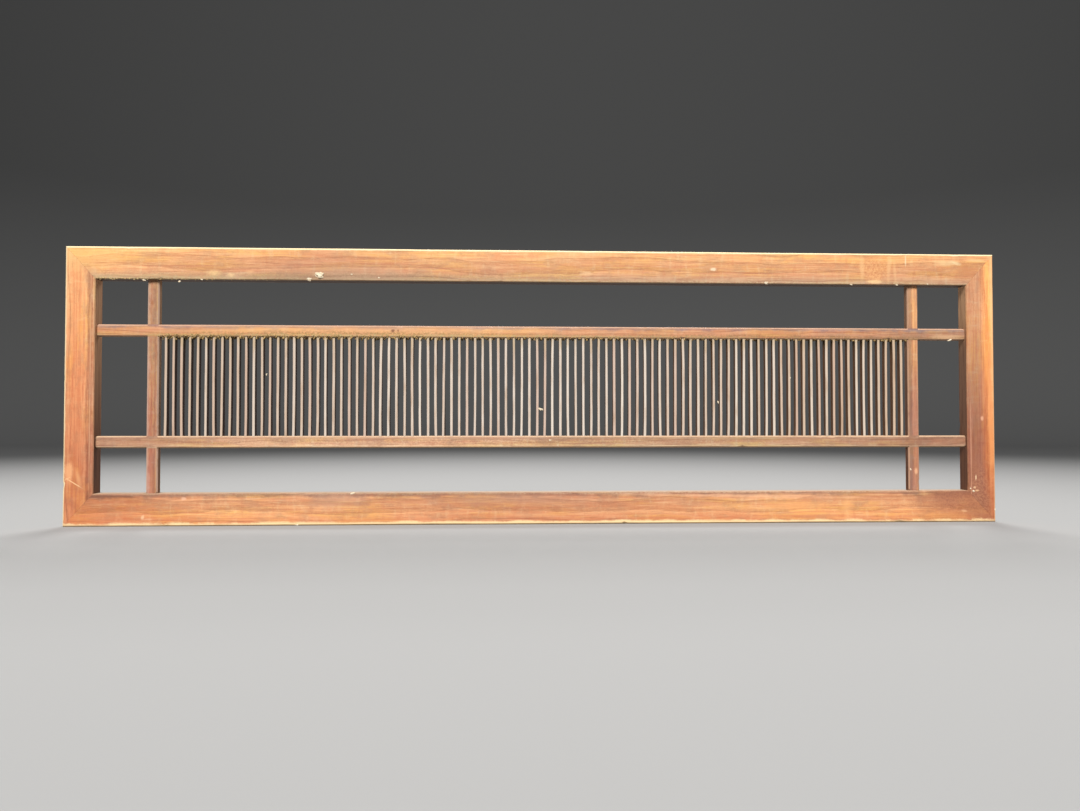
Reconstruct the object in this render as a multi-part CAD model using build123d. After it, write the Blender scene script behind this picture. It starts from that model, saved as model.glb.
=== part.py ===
from build123d import *
import os

# A wooden transom panel: a mitred outer frame, a lattice of two rails and two posts let into it,
# and a row of thin upright slats between the rails, with air gaps between them. Nothing moves.
#
# X runs along the panel, Y goes through it with the front at -Y, and Z is up. The origin is at
# the middle of the bottom edge. All sizes are in millimetres.

# Outer frame
PANEL_WIDTH = 900.0
PANEL_HEIGHT = 265.0
FRAME_DEPTH = 15.0
STILE_FACE = 28.0
FRAME_RAIL_FACE = 31.0
OUTER_CHAMFER = 1.2
INNER_CHAMFER = 0.8

# Lattice: its rails and posts lie on the panel's middle plane, set back from both frame faces
LATTICE_DEPTH = 7.5
LATTICE_RAIL_FACE = 11.5
LATTICE_POST_FACE = 11.0
LATTICE_RAIL_SPACING = 106.2
LATTICE_POST_SPACING = 739.2
LATTICE_CHAMFER = 1.2

# Slats
SLAT_COUNT = 96
SLATS_PER_NODE = 2
SLAT_FACE = 2.5
SLAT_DEPTH = 6.2
SLAT_CHAMFER = 0.3

# Hidden joints: each tenon ends a little short of the bottom of its mortise
CORNER_TENON_THICKNESS = 5.0
CORNER_TENON_WIDTH = 14.0
CORNER_TENON_INSET = 10.0
CORNER_TENON_COVER = 6.0
LATTICE_TENON_THICKNESS = 4.0
LATTICE_TENON_SHOULDER = 1.75
LATTICE_TENON_LENGTH = 6.0
SLAT_TENON_THICKNESS = 3.2
SLAT_TENON_LENGTH = 3.0
MORTISE_END_GAP = 0.3

# Worked out from the sizes above
OPENING_WIDTH = PANEL_WIDTH - 2 * STILE_FACE
OPENING_HEIGHT = PANEL_HEIGHT - 2 * FRAME_RAIL_FACE
MIDDLE_Z = PANEL_HEIGHT / 2
LOWER_RAIL_Z = MIDDLE_Z - LATTICE_RAIL_SPACING / 2
POST_X = LATTICE_POST_SPACING / 2
SLAT_BAY = LATTICE_POST_SPACING - LATTICE_POST_FACE
SLAT_GAP = (SLAT_BAY - SLAT_COUNT * SLAT_FACE) / (SLAT_COUNT + 1)
SLAT_PITCH = SLAT_FACE + SLAT_GAP
SLAT_SPAN = LATTICE_RAIL_SPACING - LATTICE_RAIL_FACE


def block(size, centre):
    """A box with the given size and centre, each as (x, y, z)."""
    return Pos(*centre) * Box(*size)


def chamfered_bar(size, centre, long_axis, chamfer_size):
    """A box whose four long arrises are chamfered."""
    bar = Box(*size)
    return Pos(*centre) * chamfer(bar.edges().filter_by(long_axis), chamfer_size)


def mirrored_upwards(shape):
    """The same shape on the other side of the panel's middle height."""
    return mirror(shape, about=Plane.XY.offset(MIDDLE_Z))


def mirrored_sideways(shape):
    """The same shape at the other end of the panel."""
    return mirror(shape, about=Plane.YZ)


# ---- Outer frame ----


def frame_ring():
    """The whole frame as one ring, with its arrises chamfered, before the mitres part it."""
    blank = Box(PANEL_WIDTH, FRAME_DEPTH, PANEL_HEIGHT)
    blank = chamfer(blank.edges().filter_by(Axis.Y, reverse=True), OUTER_CHAMFER)
    ring = blank - Box(OPENING_WIDTH, FRAME_DEPTH, OPENING_HEIGHT)
    face_edges = ring.edges().filter_by(Axis.Y, reverse=True)
    opening_edges = face_edges.filter_by_position(Axis.X, -OPENING_WIDTH / 2, OPENING_WIDTH / 2)
    opening_edges = opening_edges.filter_by_position(Axis.Z, -OPENING_HEIGHT / 2, OPENING_HEIGHT / 2)
    return Pos(0, 0, MIDDLE_Z) * chamfer(opening_edges, INNER_CHAMFER)


def mitred_piece(outline):
    """The part of the ring inside an outline, given as (x, z) points, whose ends are mitres."""
    face = Plane.XZ * make_face(Polyline(*outline, close=True))
    return frame_ring() & extrude(face, FRAME_DEPTH / 2, both=True)


def corner_tenon(extra_length=0.0):
    """The tenon hidden in the lower right mitre, from the opening's edge towards the outer end."""
    length = STILE_FACE - CORNER_TENON_COVER + extra_length
    return block(
        (length, CORNER_TENON_THICKNESS, CORNER_TENON_WIDTH),
        (OPENING_WIDTH / 2 + length / 2, 0, CORNER_TENON_INSET + CORNER_TENON_WIDTH / 2),
    )


def rail_end_tenon(extra_length=0.0):
    """The stub tenon on the right end of the lower lattice rail."""
    length = LATTICE_TENON_LENGTH + extra_length
    return block(
        (length, LATTICE_TENON_THICKNESS, LATTICE_RAIL_FACE - 2 * LATTICE_TENON_SHOULDER),
        (OPENING_WIDTH / 2 + length / 2, 0, LOWER_RAIL_Z),
    )


def post_end_tenon(extra_length=0.0):
    """The stub tenon on the foot of the right lattice post."""
    length = LATTICE_TENON_LENGTH + extra_length
    return block(
        (LATTICE_POST_FACE - 2 * LATTICE_TENON_SHOULDER, LATTICE_TENON_THICKNESS, length),
        (POST_X, 0, FRAME_RAIL_FACE - length / 2),
    )


def bottom_frame_rail():
    """The long lower member: a tenon in each mitre and a mortise for each lattice post."""
    half = PANEL_WIDTH / 2
    inner = OPENING_WIDTH / 2
    rail = mitred_piece([(-half, 0), (half, 0), (inner, FRAME_RAIL_FACE), (-inner, FRAME_RAIL_FACE)])
    rail += corner_tenon() + mirrored_sideways(corner_tenon())
    mortise = post_end_tenon(MORTISE_END_GAP)
    return rail - mortise - mirrored_sideways(mortise)


def right_stile():
    """The upright right member: a mortise at each mitre and one for each lattice rail."""
    half = PANEL_WIDTH / 2
    inner = OPENING_WIDTH / 2
    top = PANEL_HEIGHT
    outline = [(half, 0), (half, top), (inner, top - FRAME_RAIL_FACE), (inner, FRAME_RAIL_FACE)]
    stile = mitred_piece(outline)
    for mortise in (corner_tenon(MORTISE_END_GAP), rail_end_tenon(MORTISE_END_GAP)):
        stile = stile - mortise - mirrored_upwards(mortise)
    return stile


# ---- Lattice ----


def rail_bar():
    """The lower lattice rail before its joints are cut."""
    return chamfered_bar(
        (OPENING_WIDTH, LATTICE_DEPTH, LATTICE_RAIL_FACE),
        (0, 0, LOWER_RAIL_Z),
        Axis.X,
        LATTICE_CHAMFER,
    )


def post_bar():
    """The right lattice post before its joints are cut."""
    return chamfered_bar(
        (LATTICE_POST_FACE, LATTICE_DEPTH, OPENING_HEIGHT),
        (POST_X, 0, MIDDLE_Z),
        Axis.Z,
        LATTICE_CHAMFER,
    )


def crossing_block():
    """The space where the right post crosses the lower rail."""
    return block((LATTICE_POST_FACE, LATTICE_DEPTH, LATTICE_RAIL_FACE), (POST_X, 0, LOWER_RAIL_Z))


def crossing_half(side):
    """The front (-1) or back (+1) half of the crossing, with the chamfers mitred at its corners."""
    half = Pos(0, side * LATTICE_DEPTH / 2, 0) * crossing_block()
    return (rail_bar() + post_bar()) & crossing_block() & half


def slat_mortises():
    """The row of pockets for the feet of the slats, in the top of the lower lattice rail."""
    depth = SLAT_TENON_LENGTH + MORTISE_END_GAP
    height = LOWER_RAIL_Z + LATTICE_RAIL_FACE / 2 - depth / 2
    return [
        block((SLAT_FACE, SLAT_TENON_THICKNESS, depth), (slat_x(number), 0, height))
        for number in range(SLAT_COUNT)
    ]


def lower_lattice_rail():
    """Runs across the front of both posts in half-laps, and takes the feet of the slats."""
    rail = rail_bar() + rail_end_tenon() + mirrored_sideways(rail_end_tenon())
    for crossing, front in (
        (crossing_block(), crossing_half(-1)),
        (mirrored_sideways(crossing_block()), mirrored_sideways(crossing_half(-1))),
    ):
        rail = rail - crossing + front
    return rail - slat_mortises()


def right_lattice_post():
    """Passes behind both lattice rails in half-laps, from frame rail to frame rail."""
    post = post_bar() + post_end_tenon() + mirrored_upwards(post_end_tenon())
    for crossing, back in (
        (crossing_block(), crossing_half(1)),
        (mirrored_upwards(crossing_block()), mirrored_upwards(crossing_half(1))),
    ):
        post = post - crossing + back
    return post


# ---- Slats ----


def slat_x(number):
    """The centre line of a slat, counted from 0 at the left."""
    return (number - (SLAT_COUNT - 1) / 2) * SLAT_PITCH


def slat(number):
    """One thin slat, with a stub tenon at each end."""
    centre = (slat_x(number), 0, MIDDLE_Z)
    blade = chamfered_bar((SLAT_FACE, SLAT_DEPTH, SLAT_SPAN), centre, Axis.Z, SLAT_CHAMFER)
    tenons = block((SLAT_FACE, SLAT_TENON_THICKNESS, SLAT_SPAN + 2 * SLAT_TENON_LENGTH), centre)
    return blade + tenons


def slat_group(first):
    """Neighbouring slats that share one node, each still a solid of its own."""
    return Compound(children=[slat(number) for number in range(first, first + SLATS_PER_NODE)])


def all_nodes():
    """Every named sub-part of the panel."""
    nodes = {
        "bottom_frame_rail": bottom_frame_rail(),
        "right_stile": right_stile(),
        "lower_lattice_rail": lower_lattice_rail(),
        "right_lattice_post": right_lattice_post(),
    }
    nodes["top_frame_rail"] = mirrored_upwards(nodes["bottom_frame_rail"])
    nodes["left_stile"] = mirrored_sideways(nodes["right_stile"])
    nodes["upper_lattice_rail"] = mirrored_upwards(nodes["lower_lattice_rail"])
    nodes["left_lattice_post"] = mirrored_sideways(nodes["right_lattice_post"])
    for first in range(0, SLAT_COUNT, SLATS_PER_NODE):
        nodes[f"slat_pair_{first // SLATS_PER_NODE + 1:02d}"] = slat_group(first)
    return nodes


os.makedirs("parts", exist_ok=True)
for node_name, shape in all_nodes().items():
    export_step(shape, f"parts/{node_name}.step")
print(f"slat pitch {SLAT_PITCH:.3f} mm, gap {SLAT_GAP:.3f} mm")
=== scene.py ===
import math
import random

import bmesh
import bpy
from mathutils import Euler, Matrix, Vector, noise


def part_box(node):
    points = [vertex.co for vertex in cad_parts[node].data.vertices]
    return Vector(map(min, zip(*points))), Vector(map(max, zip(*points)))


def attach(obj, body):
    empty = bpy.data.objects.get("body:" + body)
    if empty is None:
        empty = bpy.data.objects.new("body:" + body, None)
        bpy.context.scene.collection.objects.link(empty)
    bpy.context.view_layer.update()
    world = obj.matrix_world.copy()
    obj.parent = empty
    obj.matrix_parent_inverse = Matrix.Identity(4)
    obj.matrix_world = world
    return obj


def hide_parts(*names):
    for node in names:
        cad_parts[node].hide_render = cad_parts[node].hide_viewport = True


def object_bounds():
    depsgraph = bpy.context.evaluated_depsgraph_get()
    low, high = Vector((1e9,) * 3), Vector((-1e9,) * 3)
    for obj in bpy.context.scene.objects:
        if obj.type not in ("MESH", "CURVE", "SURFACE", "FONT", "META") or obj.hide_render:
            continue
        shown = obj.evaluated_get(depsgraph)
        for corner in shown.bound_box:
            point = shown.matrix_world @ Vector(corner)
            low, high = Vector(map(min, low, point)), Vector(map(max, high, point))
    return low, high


# The looks of the wooden transom panel. Every member is a mesh of its own, lofted along its length
# with worn arrises, chips and slight bends, and stands for the CAD node that it covers. Lengths are
# in metres. X runs along the panel, Y goes through it with the front at -Y, and Z is up.

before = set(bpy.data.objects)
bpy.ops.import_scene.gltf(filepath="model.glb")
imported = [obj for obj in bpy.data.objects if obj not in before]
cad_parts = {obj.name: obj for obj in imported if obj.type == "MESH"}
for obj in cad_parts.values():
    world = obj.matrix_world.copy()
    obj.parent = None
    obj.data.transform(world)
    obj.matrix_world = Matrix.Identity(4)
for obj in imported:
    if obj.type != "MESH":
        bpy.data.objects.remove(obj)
CAD_LOW, CAD_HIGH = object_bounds()
MM = 0.001

# ---- Sizes, read from the frame ----

FRONT, BACK = CAD_LOW.y, CAD_HIGH.y
LEFT_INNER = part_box("left_stile")[1].x
RIGHT_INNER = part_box("right_stile")[0].x
BOTTOM_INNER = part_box("bottom_frame_rail")[1].z
TOP_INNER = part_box("top_frame_rail")[0].z
STILE_FACE = LEFT_INNER - CAD_LOW.x
FRAME_RAIL_FACE = BOTTOM_INNER - CAD_LOW.z

RAIL_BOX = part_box("lower_lattice_rail")
POST_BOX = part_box("right_lattice_post")
LATTICE_FRONT, LATTICE_BACK = RAIL_BOX[0].y, RAIL_BOX[1].y
HALF_RAIL = (RAIL_BOX[1].z - RAIL_BOX[0].z) / 2
HALF_POST = (POST_BOX[1].x - POST_BOX[0].x) / 2
RAIL_Z = [sum(corner.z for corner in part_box(f"{side}_lattice_rail")) / 2 for side in ("lower", "upper")]
POST_X = [sum(corner.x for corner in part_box(f"{side}_lattice_post")) / 2 for side in ("left", "right")]

PAIR_COUNT = sum(name.startswith("slat_pair_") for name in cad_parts)
FIRST_PAIR, SECOND_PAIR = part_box("slat_pair_01"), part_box("slat_pair_02")
SLAT_PITCH = (SECOND_PAIR[0].x - FIRST_PAIR[0].x) / 2
SLAT_FACE = FIRST_PAIR[1].x - FIRST_PAIR[0].x - SLAT_PITCH
SLAT_FRONT, SLAT_BACK = FIRST_PAIR[0].y, FIRST_PAIR[1].y
SLAT_LOW = RAIL_Z[0] + HALF_RAIL
SLAT_HIGH = RAIL_Z[1] - HALF_RAIL

# ---- Sizes of the woodworker's finish ----

OUTER_BEVEL = 1.2 * MM
INNER_BEVEL = 0.8 * MM
LATTICE_BEVEL = 1.2 * MM
SLAT_BEVEL = 0.3 * MM
LEAST_BEVEL = 0.04 * MM
ARRIS_LINE = 0.6 * MM
SLAT_ARRIS_LINE = 0.12 * MM
MITRE_GAP = 0.08 * MM
LAP_GAP = 0.05 * MM
LATTICE_SINK = 0.5 * MM
SLAT_SINK = 0.25 * MM
FULLY_RUBBED_BEVEL = 0.5 * MM
CORNER_ROUNDING = 0.35
FRAME_CHIP_EVERY = 45 * MM
LATTICE_CHIP_EVERY = 40 * MM
DUST_ROUGHNESS = 0.9
PLASTER_ROUGHNESS = 0.6
FIBRE_COUNT = 46
FIBRE_RADIUS = 0.07 * MM
FIBRE_STEP = 0.5 * MM
TINY = 0.01 * MM

# How much each member's four arrises are rubbed, from the outer front one round to the outer back
FRAME_RUBS = (1.0, 0.42, 0.42, 1.0)
LATTICE_RUBS = (0.8, 0.8, 0.8, 0.8)
SLAT_RUBS = (1.0, 1.0, 1.0, 1.0)

# How finely the meshes are divided: along each member, across its faces and sides, and round a corner
FRAME_STEP = 3.0 * MM
LATTICE_STEP = 3.0 * MM
SLAT_STEP = 3.5 * MM
FRAME_FACE_STEPS = (11, 6)
LATTICE_FACE_STEPS = (5, 3)
SLAT_FACE_STEPS = (2, 2)
CORNER_STEPS = 3
FIBRE_SIDES = 5

# The studio paper beside the panel, and at the wall
PALE_PAPER = (0.235, 0.232, 0.226, 1.0)
DEEP_PAPER = (0.032, 0.032, 0.0315, 1.0)

# How bright the studio light shows a white surface, so that colours can be given as they look
LIGHT_LEVEL = 1.6

# How strong the light from all round is
AROUND_LEVEL = 0.3

# The camera's place in metres, its angles in degrees and its lens in millimetres
CAMERA_PLACE = (-0.0366, -0.7899, 0.0975)
CAMERA_ANGLES = (91.24, 0.0, -2.594)
CAMERA_LENS = 27.04


# ---- Meshes ----


def wobble(position, seed, scale):
    """Smooth noise from -1 to 1 along a length, the same on every run."""
    return noise.noise(Vector((position / scale, seed * 7.31, seed * 3.17)))


def add_object(name, mesh, material):
    """Links a mesh as an object with one material, and lets it ride on the panel."""
    made = bpy.data.objects.new(name, mesh)
    bpy.context.scene.collection.objects.link(made)
    mesh.materials.append(material)
    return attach(made, "root")


def set_attribute(mesh, name, values):
    """Stores one number per vertex, for the material to read."""
    mesh.attributes.new(name, "FLOAT", "POINT").data.foreach_set("value", values)


def loft(name, bars):
    """A mesh of closed bars. Each bar is a list of rings, and each ring a list of (point, wear, facing)
    vertices, as section gives them."""
    points, faces = [], []
    for rings in bars:
        count = len(rings[0])
        first = len(points)
        points += [vertex for ring in rings for vertex in ring]
        for ring in range(len(rings) - 1):
            start = first + ring * count
            for step in range(count):
                after = (step + 1) % count
                faces.append((start + step, start + after, start + count + after, start + count + step))
        faces.append(tuple(range(first, first + count)))
        faces.append(tuple(range(len(points) - count, len(points))))
    mesh = bpy.data.meshes.new(name)
    mesh.from_pydata([point for point, _, _ in points], [], faces)
    set_attribute(mesh, "wear", [wear for _, wear, _ in points])
    set_attribute(mesh, "facing", [facing for _, _, facing in points])
    face_outwards(mesh)
    mesh.shade_smooth()
    mesh.set_sharp_from_angle(angle=math.radians(38))
    return mesh


def face_outwards(mesh):
    """Turns every face of a closed mesh to point outwards."""
    work = bmesh.new()
    work.from_mesh(mesh)
    bmesh.ops.recalc_face_normals(work, faces=work.faces)
    work.to_mesh(mesh)
    work.free()


def towards(start, end, distance):
    """The point at a distance from start on the way to end, all as (across, depth)."""
    start, end = Vector(start), Vector(end)
    return start + (end - start).normalized() * distance


def section(outer, inner, front, back, bevels, rubs, steps, arris_line=ARRIS_LINE):
    """The outline of a bar as (across, depth, wear, facing) rows, where wear is how far the arrises
    are rubbed, and facing is 1 on the side that faces the opening and -1 on the side that faces out.
    Its corners are, in order, the outer front, inner front, inner back and outer back, each with its
    own chamfer and rubbing."""
    corners = [(outer, front), (inner, front), (inner, back), (outer, back)]
    outline = []
    for number, corner in enumerate(corners):
        after = (number + 1) % 4
        start = towards(corner, corners[number - 1], bevels[number])
        end = towards(corner, corners[after], bevels[number])
        rubbed = rubs[number] * min(1.0, bevels[number] / FULLY_RUBBED_BEVEL)
        for step in range(CORNER_STEPS + 1):
            share = step / CORNER_STEPS
            bulge = CORNER_ROUNDING * share * (1 - share)
            point = start.lerp(end, share).lerp(Vector(corner), bulge)
            outline.append((point.x, point.y, rubbed * (1.0 - 0.25 * abs(2 * share - 1)), 0.0))
        flat_end = towards(corners[after], corner, bevels[after])
        low = towards(end, flat_end, arris_line)
        high = towards(flat_end, end, arris_line)
        facing = (0.0, 1.0, 0.0, -1.0)[number]
        count = steps[number % 2]
        for step in range(count + 1):
            point = low.lerp(high, step / count)
            outline.append((point.x, point.y, 0.0, facing))
    return outline


def chips_along(start, end, seed, every):
    """Small bites out of the arrises, as (place along the bar, corner, depth, length)."""
    chance = random.Random(seed)
    chips = []
    for _ in range(int((end - start) / every)):
        depth = (0.2 + 1.1 * chance.random() ** 3) * MM
        length = (0.8 + 3.0 * chance.random()) * MM
        chips.append((chance.uniform(start, end), chance.randrange(4), depth, length))
    return chips


def worn_bevels(sizes, place, seed, chips):
    """The four chamfers at one place: as planed, then rubbed unevenly and chipped here and there."""
    bevels = []
    for corner, size in enumerate(sizes):
        near = 0.12 * wobble(place, seed + corner, 14 * MM)
        far = 0.15 * wobble(place, seed - corner, 60 * MM)
        worn = size * (1 + near + far)
        for centre, chipped_corner, depth, length in chips:
            if chipped_corner == corner and abs(place - centre) < 2.5 * length:
                shape = math.exp(-(((place - centre) / length) ** 2))
                worn += depth * shape * min(1.0, size / INNER_BEVEL)
        bevels.append(max(worn, LEAST_BEVEL))
    return bevels


def evenly(start, end, step):
    """Places from start to end, both included, about a step apart."""
    count = max(2, round((end - start) / step))
    return [start + (end - start) * number / count for number in range(count + 1)]


# ---- Outer frame ----


def frame_bar(upright, outer, inner, half_length, middle, slope, seed):
    """A member of the outer frame, mitred at both ends, with the outer edge longer than the inner."""
    chips = chips_along(-half_length, half_length, seed, FRAME_CHIP_EVERY)
    sizes = (OUTER_BEVEL, INNER_BEVEL, INNER_BEVEL, OUTER_BEVEL)
    inwards = 1 if inner > outer else -1
    rings = []
    for place in evenly(-1.0, 1.0, FRAME_STEP / half_length):
        run = place * half_length
        bevels = worn_bevels(sizes, run, seed, chips)
        shrink = (0.10 + 0.10 * wobble(run, seed + 9, 70 * MM)) * MM
        planed_outer = outer + inwards * shrink
        depths = (FRONT + shrink, BACK - shrink)
        outline = section(planed_outer, inner, *depths, bevels, FRAME_RUBS, FRAME_FACE_STEPS)
        ring = []
        for across, depth, wear, facing in outline:
            reach = half_length - abs(across - outer) * slope - MITRE_GAP
            dip = 0.05 * MM * noise.noise(Vector((run * 90, across * 160, depth * 160 + seed)))
            depth -= math.copysign(max(0.0, dip), depth)
            along = middle + place * reach
            point = (across, depth, along) if upright else (along, depth, across)
            ring.append((Vector(point), wear, facing))
        rings.append(ring)
    return rings


def make_outer_frame():
    """The four mitred members of the frame."""
    half_width = (CAD_HIGH.x - CAD_LOW.x) / 2
    half_height = (CAD_HIGH.z - CAD_LOW.z) / 2
    middle_z = (CAD_HIGH.z + CAD_LOW.z) / 2
    rail_slope = STILE_FACE / FRAME_RAIL_FACE
    stile_slope = FRAME_RAIL_FACE / STILE_FACE
    members = (
        ("top_frame_rail", False, CAD_HIGH.z, TOP_INNER, half_width, 0.0, rail_slope, 11),
        ("bottom_frame_rail", False, CAD_LOW.z, BOTTOM_INNER, half_width, 0.0, rail_slope, 23),
        ("left_stile", True, CAD_LOW.x, LEFT_INNER, half_height, middle_z, stile_slope, 37),
        ("right_stile", True, CAD_HIGH.x, RIGHT_INNER, half_height, middle_z, stile_slope, 41),
    )
    for node, *shape in members:
        made = add_object(f"{node}_wood", loft(node, [frame_bar(*shape)]), WOODS[node]())
        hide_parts(node)


# ---- Lattice ----


def lattice_stations(start, end, crossings, half_crossing, keeps_front):
    """Where a lattice member's outline is drawn, as (place, front, back, is chamfered) rows. Within a
    crossing it keeps only its front or its back half, and its chamfers run out to nothing there, so
    that they mitre with those of the member that it crosses."""
    middle = (LATTICE_FRONT + LATTICE_BACK) / 2
    halved = (LATTICE_FRONT, middle) if keeps_front else (middle + LAP_GAP, LATTICE_BACK)
    whole = (LATTICE_FRONT, LATTICE_BACK)
    clearance = half_crossing + 0.5 * MM
    offsets = (
        (-half_crossing - TINY, whole, True),
        (-half_crossing, halved, True),
        (LATTICE_BEVEL - half_crossing, halved, False),
        (0.0, halved, False),
        (half_crossing - LATTICE_BEVEL, halved, False),
        (half_crossing, halved, True),
        (half_crossing + TINY, whole, True),
    )
    places = evenly(start, end, LATTICE_STEP)
    for from_end in (0.6 * MM, 0.9 * MM, 1.3 * MM, 1.9 * MM):
        places += [start + from_end, end - from_end]
    clear = [place for place in places if all(abs(place - centre) > clearance for centre in crossings)]
    stations = [(place, *whole, True) for place in clear]
    for centre in crossings:
        stations += [(centre + offset, *depths, chamfered) for offset, depths, chamfered in offsets]
    return sorted(stations, key=lambda station: station[0])


def lattice_bar(upright, centre, half_face, stations, seed):
    """A lattice rail or post, lofted through its stations."""
    start, end = stations[0][0], stations[-1][0]
    chips = chips_along(start, end, seed, LATTICE_CHIP_EVERY)
    rings = []
    for place, front, back, chamfered in stations:
        bevels = [LEAST_BEVEL] * 4
        if chamfered:
            bevels = worn_bevels([LATTICE_BEVEL] * 4, place, seed, chips)
        if back < LATTICE_BACK:
            bevels[2] = bevels[3] = LEAST_BEVEL
        if front > LATTICE_FRONT:
            bevels[0] = bevels[1] = LEAST_BEVEL
        from_end = min(place - start, end - place) - LATTICE_SINK
        eased = 0.9 * MM * math.exp(-max(from_end, 0.0) / (0.5 * MM))
        bevels = [bevel + eased for bevel in bevels]
        bow = 0.12 * MM * wobble(place, seed + 5, 110 * MM)
        ring = []
        low, high = centre - half_face, centre + half_face
        outline = section(low, high, front, back, bevels, LATTICE_RUBS, LATTICE_FACE_STEPS)
        for across, depth, wear, _ in outline:
            facing = 1.0 if abs(across - centre) > half_face - TINY and wear == 0.0 else 0.0
            point = (across + bow, depth, place) if upright else (place, depth, across + bow)
            ring.append((Vector(point), wear, facing))
        rings.append(ring)
    return rings


def make_lattice():
    """Two rails that run across in front, and two posts that pass behind them."""
    rail_ends = (LEFT_INNER - LATTICE_SINK, RIGHT_INNER + LATTICE_SINK)
    post_ends = (BOTTOM_INNER - LATTICE_SINK, TOP_INNER + LATTICE_SINK)
    rail_stations = lattice_stations(*rail_ends, POST_X, HALF_POST, True)
    post_stations = lattice_stations(*post_ends, RAIL_Z, HALF_RAIL, False)
    members = (
        ("lower_lattice_rail", False, RAIL_Z[0], HALF_RAIL, rail_stations, 53),
        ("upper_lattice_rail", False, RAIL_Z[1], HALF_RAIL, rail_stations, 59),
        ("left_lattice_post", True, POST_X[0], HALF_POST, post_stations, 61),
        ("right_lattice_post", True, POST_X[1], HALF_POST, post_stations, 67),
    )
    for node, *shape in members:
        made = add_object(f"{node}_wood", loft(node, [lattice_bar(*shape)]), WOODS[node]())
        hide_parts(node)


# ---- Slats ----


def slat_bar(x, number):
    """One slat, split from the plank by hand: a little uneven in thickness, and seldom quite straight."""
    chance = random.Random(700 + number)
    lean = chance.gauss(0, 0.22) * MM
    bow = chance.gauss(0, 0.2) * MM
    twist = chance.gauss(0, 0.12) * MM
    half_face = SLAT_FACE / 2 * chance.uniform(0.86, 1.0)
    depths = (SLAT_FRONT + chance.uniform(-0.1, 0.25) * MM, SLAT_BACK)
    rings = []
    for place in evenly(SLAT_LOW - SLAT_SINK, SLAT_HIGH + SLAT_SINK, SLAT_STEP):
        share = 2 * (place - SLAT_LOW) / (SLAT_HIGH - SLAT_LOW) - 1
        hold = 1 - share ** 4
        shift = x + lean * share * 0.5 + bow * hold + 0.12 * MM * wobble(place, number, 30 * MM)
        half = half_face * (1 + 0.07 * wobble(place, number + 300, 25 * MM))
        bevels = worn_bevels([SLAT_BEVEL] * 4, place, 900 + number, ())
        ring = []
        low, high = shift - half, shift + half
        outline = section(low, high, *depths, bevels, SLAT_RUBS, SLAT_FACE_STEPS, SLAT_ARRIS_LINE)
        for across, depth, wear, _ in outline:
            turn = twist * share * depth / SLAT_BACK
            facing = 1.0 if abs(abs(across - shift) - half) < TINY and wear == 0.0 else 0.0
            ring.append((Vector((across + turn, depth, place)), wear, facing))
        rings.append(ring)
    return rings


def make_slats():
    """The comb of slats, two to a piece as in the CAD."""
    material = slat_wood()
    for pair in range(PAIR_COUNT):
        node = f"slat_pair_{pair + 1:02d}"
        low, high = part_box(node)
        middles = (low.x + SLAT_FACE / 2, high.x - SLAT_FACE / 2)
        bars = [slat_bar(x, 2 * pair + side) for side, x in enumerate(middles)]
        mesh = loft(node, bars)
        tones = []
        for side, rings in enumerate(bars):
            tone = random.Random(1300 + 2 * pair + side).random()
            tones += [tone] * (len(rings) * len(rings[0]))
        set_attribute(mesh, "tone", tones)
        made = add_object(f"{node}_wood", mesh, material)
        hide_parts(node)


# ---- Dust, crumbs and fibres ----


def lump(work, centre, size, seed, roughness, detail=2):
    """Adds one uneven closed lump to a bmesh. The seed shapes it, and is also its turn in radians."""
    made = bmesh.ops.create_icosphere(work, subdivisions=detail, radius=1.0)
    offset = Vector((seed, 2 * seed, 3 * seed))
    turn = Euler((0.0, seed, 0.0)).to_matrix()
    for vertex in made["verts"]:
        direction = vertex.co.normalized()
        rough = 1 + roughness * noise.noise(direction * 1.4 + offset)
        rough += 0.7 * roughness * noise.noise(direction * 3.1 + offset)
        rough += 0.5 * roughness * noise.noise(direction * 6.7 + offset)
        local = Vector(component * rough for component in direction)
        local = Vector((local.x * size[0], local.y * size[1], local.z * size[2]))
        vertex.co = Vector(centre) + turn @ local


def finish_lumps(name, work, material):
    """Turns a bmesh of lumps into a piece that rides on the panel."""
    mesh = bpy.data.meshes.new(name)
    work.to_mesh(mesh)
    work.free()
    mesh.shade_smooth()
    mesh.set_sharp_from_angle(angle=math.radians(50))
    add_object(name, mesh, material)


def make_slat_root_dust():
    """Matted dust that hangs where the slats enter the upper lattice rail, thickest at the left."""
    work = bmesh.new()
    chance = random.Random(31)
    first_slat = FIRST_PAIR[0].x + SLAT_FACE / 2
    for gap in range(2 * PAIR_COUNT + 1):
        middle = first_slat + (gap - 0.5) * SLAT_PITCH
        share = gap / (2 * PAIR_COUNT)
        amount = 1.7 - 0.9 * share + 0.4 * wobble(gap, 3, 6)
        for _ in range(chance.choice((4, 5, 6, 7))):
            x = middle + chance.uniform(-0.5, 0.5) * (SLAT_PITCH - SLAT_FACE)
            y = chance.uniform(LATTICE_FRONT + 0.4 * MM, SLAT_BACK)
            hang = max(0.25, amount * chance.uniform(0.25, 1.35)) * MM
            size = (chance.uniform(0.4, 1.1) * MM, chance.uniform(0.4, 1.0) * MM, hang)
            lump(work, (x, y, SLAT_HIGH - 0.15 * hang), size, chance.uniform(0, 0.5), DUST_ROUGHNESS)
    finish_lumps("slat_root_dust", work, dust())


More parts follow.
